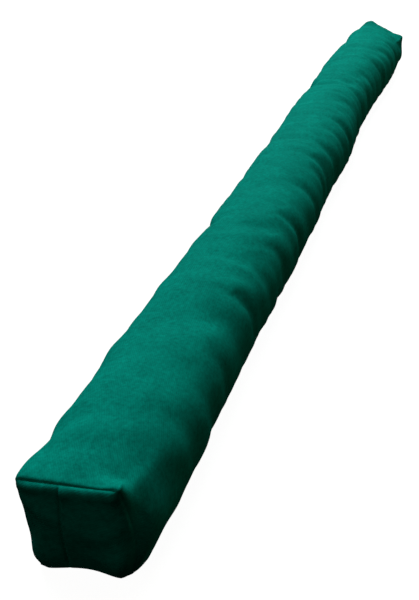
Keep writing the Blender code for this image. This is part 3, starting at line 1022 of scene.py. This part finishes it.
class Socket:
    """A shader socket that Python's operators join into Math nodes."""

    def __init__(self, finish, output):
        self.finish, self.output = finish, output

    def __add__(self, other):
        return self.finish.math("ADD", self, other)

    def __radd__(self, other):
        return self.finish.math("ADD", other, self)

    def __sub__(self, other):
        return self.finish.math("SUBTRACT", self, other)

    def __rsub__(self, other):
        return self.finish.math("SUBTRACT", other, self)

    def __mul__(self, other):
        return self.finish.math("MULTIPLY", self, other)


class Finish:
    """A material whose shader is fed by expressions."""

    def __init__(self, name):
        self.material = bpy.data.materials.new(name)
        self.material.use_nodes = True
        self.tree = self.material.node_tree
        self.shader = self.tree.nodes["Principled BSDF"]

    def node(self, kind, inputs=None, output=0, **settings):
        """One output of a new node."""
        return Socket(self, add_node(self.tree, kind, inputs, **settings).outputs[output])

    def math(self, operation, *values):
        """A number worked out from others."""
        return self.node("ShaderNodeMath", dict(enumerate(values)), operation=operation)

    def ridges(self, value, pitch):
        """0 along evenly spaced lines, rising to 1 between them."""
        return self.math("ABSOLUTE", self.math("SINE", value * (math.pi / pitch)))

    def mix(self, share, low, high):
        """A colour from low to high."""
        return self.node("ShaderNodeMix", {0: share, 6: low, 7: high}, 2, data_type="RGBA")

    def noise(self, vector, scale, detail=2.0, roughness=0.5):
        """Smooth noise, about 0.5."""
        inputs = {"Vector": vector, "Scale": scale, "Detail": detail, "Roughness": roughness}
        return self.node("ShaderNodeTexNoise", inputs)

    def vector(self, operation, inputs):
        """A colour or a place worked out from others."""
        return self.node("ShaderNodeVectorMath", inputs, operation=operation)

    def set(self, **values):
        """Feeds the shader's sockets."""
        for name, value in values.items():
            feed(self.tree, self.shader.inputs[name.replace("_", " ")], value)


# Weave of the twill: slanting lines over yarns that run along the tube
TWILL_PITCH = 0.00105  # between two twill lines
TWILL_ANGLE = math.radians(30)  # of the twill lines from the tube's length
LINE_WANDER = 0.3  # how unevenly the lines are spaced, in pitches
WANDER_NOISE = (320.0, 1.0)
YARN = 0.00052  # width of one warp yarn
YARN_SHARE = 0.35  # share of a line's height that dips between its yarns
SLUB_SHARE = 0.5  # height of the yarns' thick places, against a line's
SLUB_SCALE = (60.0, 900.0, 1.0)  # how closely they lie, along the tube and round it
TWILL_DEPTH = 0.00012
TWILL_STRENGTH = 0.36  # of its relief

# Colours of the twill: its crests, and its grooves darkened as painted shade; and how uneven its
# dye, its wear and its grain are
TWILL_CREST = (0.0006, 0.222, 0.177, 1.0)
# colour of the twill lines' grooves, darker than the crests as painted shade
TWILL_GROOVE_PAINTED_SHADE = (0.0004, 0.200, 0.159, 1.0)
SHADES = (
    ((38.0, 5.0, 0.66), 0.75),
    ((170.0, 2.0, 0.6), 0.45),
    ((420.0, 4.0, 0.75), 1.3),
)  # scale, detail and roughness of each noise, and its contrast
TWILL_ROUGHNESS = 0.9
CREST_POLISH = 0.08  # how much smoother the crests of the lines are
LINT = (0.03, 0.30, 0.24, 1.0)
LINT_NOISE = (330.0, 3.0, 0.7)
LINT_FROM = 0.70  # least noise that shows as lint
LINT_EDGE = 14.0  # how sharply it begins
LINT_SHARE = 0.45  # most of the cloth's colour that it hides

# Sewing thread
THREAD_DARK = (0.0006, 0.10, 0.075, 1.0)
THREAD_LIGHT = (0.0008, 0.17, 0.125, 1.0)
THREAD_NOISE = (700.0, 2.0)

# Floor
FLOOR_HALF = 40.0
FLOOR_GAP = 0.0003  # between the floor and the casing
FLOOR_TONE = (0.14, 0.14, 0.14, 1.0)
FLOOR_GLOW = 0.97
WHITE = (1.0, 1.0, 1.0, 1.0)


def twill_finish():
    """Green cotton twill: twill lines with painted shade in their grooves, yarns, uneven dye and a
    little lint.
    """
    finish = Finish("green_twill")
    place = finish.node("ShaderNodeUVMap", uv_map="cloth")
    u = finish.node("ShaderNodeSeparateXYZ", {"Vector": place})
    v = Socket(finish, u.output.node.outputs["Y"])
    slope_u, slope_v = math.sin(TWILL_ANGLE) / TWILL_PITCH, math.cos(TWILL_ANGLE) / TWILL_PITCH
    wander = (finish.noise(place, *WANDER_NOISE) - 0.5) * LINE_WANDER
    rib = finish.ridges(u * slope_u + v * slope_v + wander, 1)
    yarn = finish.ridges(v, YARN)
    slub = finish.noise(finish.vector("MULTIPLY", {0: place, 1: SLUB_SCALE}), 1.0)
    height = rib * (yarn * YARN_SHARE + (1 - YARN_SHARE)) + slub * SLUB_SHARE
    tone = 1
    for noise, contrast in SHADES:
        tone = tone + (finish.noise(place, *noise) - 0.5) * contrast
    # the grooves of the twill lines take the darker colour: painted shade
    lines = finish.mix(rib, TWILL_GROOVE_PAINTED_SHADE, TWILL_CREST)
    colour = finish.vector("SCALE", {0: lines, "Scale": tone})
    lint = finish.noise(place, *LINT_NOISE)
    speck = finish.node("ShaderNodeClamp", {"Value": (lint - LINT_FROM) * LINT_EDGE}) * LINT_SHARE
    relief = {"Strength": TWILL_STRENGTH, "Distance": TWILL_DEPTH, "Height": height}
    bump = finish.node("ShaderNodeBump", relief)
    finish.set(Base_Color=finish.mix(speck, colour, LINT), Normal=bump)
    finish.set(Roughness=TWILL_ROUGHNESS - rib * CREST_POLISH, Metallic=0.0, IOR=1.4)
    finish.set(Specular_IOR_Level=0.02, Specular_Tint=(0.05, 0.9, 0.8, 1.0))
    finish.set(Sheen_Weight=0.03, Sheen_Roughness=0.5, Sheen_Tint=(0.0, 0.8, 0.7, 1.0))
    return finish.material


def thread_finish():
    """Green sewing thread, a little darker than the cloth and with a soft shine."""
    finish = Finish("green_thread")
    place = finish.node("ShaderNodeTexCoord", output=3)
    wear = finish.noise(place, *THREAD_NOISE)
    finish.set(Base_Color=finish.mix(wear, THREAD_DARK, THREAD_LIGHT), Roughness=0.62)
    finish.set(Specular_IOR_Level=0.2, Specular_Tint=(0.1, 0.9, 0.8, 1.0))
    return finish.material


def lay_floor():
    """A plain pale floor, just under the casing, whose light doesn't reach it."""
    data = bpy.data.meshes.new("floor")
    square = ((-1, -1), (1, -1), (1, 1), (-1, 1))
    corners = [(x * FLOOR_HALF, y * FLOOR_HALF, -FLOOR_GAP) for x, y in square]
    data.from_pydata(corners, [], [(0, 1, 2, 3)])
    finish = Finish("pale_floor")
    finish.set(Base_Color=FLOOR_TONE, Roughness=0.9, Specular_IOR_Level=0.0)
    finish.set(Emission_Color=WHITE, Emission_Strength=FLOOR_GLOW)
    data.materials.append(finish.material)
    floor = add_object("floor", data)
    floor.visible_diffuse = False
    floor.visible_glossy = False


def aimed(direction, up):
    """Axes of something that looks along a direction, as a 3x3 matrix."""
    look = np.array(direction) / np.linalg.norm(direction)
    right = np.cross(look, up)
    right /= np.linalg.norm(right)
    return Matrix(np.stack((right, np.cross(right, look), -look), axis=1).tolist())


def place_camera(offset):
    """The camera at the photograph's viewing angle."""
    data = bpy.data.cameras.new("view")
    data.sensor_width = SENSOR
    data.lens = LENS
    data.clip_start, data.clip_end = 0.01, 100.0
    camera = add_object("view", data)
    place = Matrix.Translation((np.array(CAMERA_PLACE) + offset).tolist())
    camera.matrix_world = place @ aimed(CAMERA_LOOK, CAMERA_UP).to_4x4()
    bpy.context.scene.camera = camera


# Lights: where each stands, the side of its square, its power and its colour
LIGHTS = table(
    "name at size watts colour",
    ("window", (-0.7, 1.4, 2.2), 2.5, 98.0, (0.82, 1.0, 0.98)),
    ("room", (1.8, 2.0, 0.8), 1.2, 9.0, (1.0, 0.90, 0.55)),
    ("front", (-0.2, -1.4, 2.4), 1.2, 5.6, (1.0, 0.96, 0.75)),
)
WORLD_FILL = (0.013, 0.0115, 0.0085, 1.0)  # of the air, which the camera sees as white


def light_scene():
    """A cool soft window light, faint warm ones from the right and the front, and dim air."""
    for row in LIGHTS:
        data = bpy.data.lights.new(row["name"], "AREA")
        data.shape = "SQUARE"
        data.size = row["size"]
        data.energy = row["watts"]
        data.color = row["colour"]
        light = add_object(row["name"], data)
        turned = aimed([-c for c in row["at"]], (0.0, 0.0, 1.0)).to_4x4()
        light.matrix_world = Matrix.Translation(row["at"]) @ turned

    world = bpy.data.worlds.new("surroundings")
    world.use_nodes = True
    tree = world.node_tree
    dim = tree.nodes["Background"]
    dim.inputs["Color"].default_value = WORLD_FILL
    seen = add_node(tree, "ShaderNodeBackground", {"Color": WHITE})
    seeing = add_node(tree, "ShaderNodeLightPath").outputs["Is Camera Ray"]
    mix = add_node(tree, "ShaderNodeMixShader", {0: seeing, 1: dim, 2: seen})
    feed(tree, tree.nodes["World Output"].inputs["Surface"], mix)
    bpy.context.scene.world = world
    bpy.context.scene.view_settings.view_transform = "Standard"


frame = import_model()
casing, grid, offset = build_casing(*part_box(NODE))
casing.data.materials.append(twill_finish())
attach(casing, "root")
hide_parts(NODE)
thread = sew(grid, thread_finish())
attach(thread, "root")
lay_floor()
place_camera(offset)
light_scene()
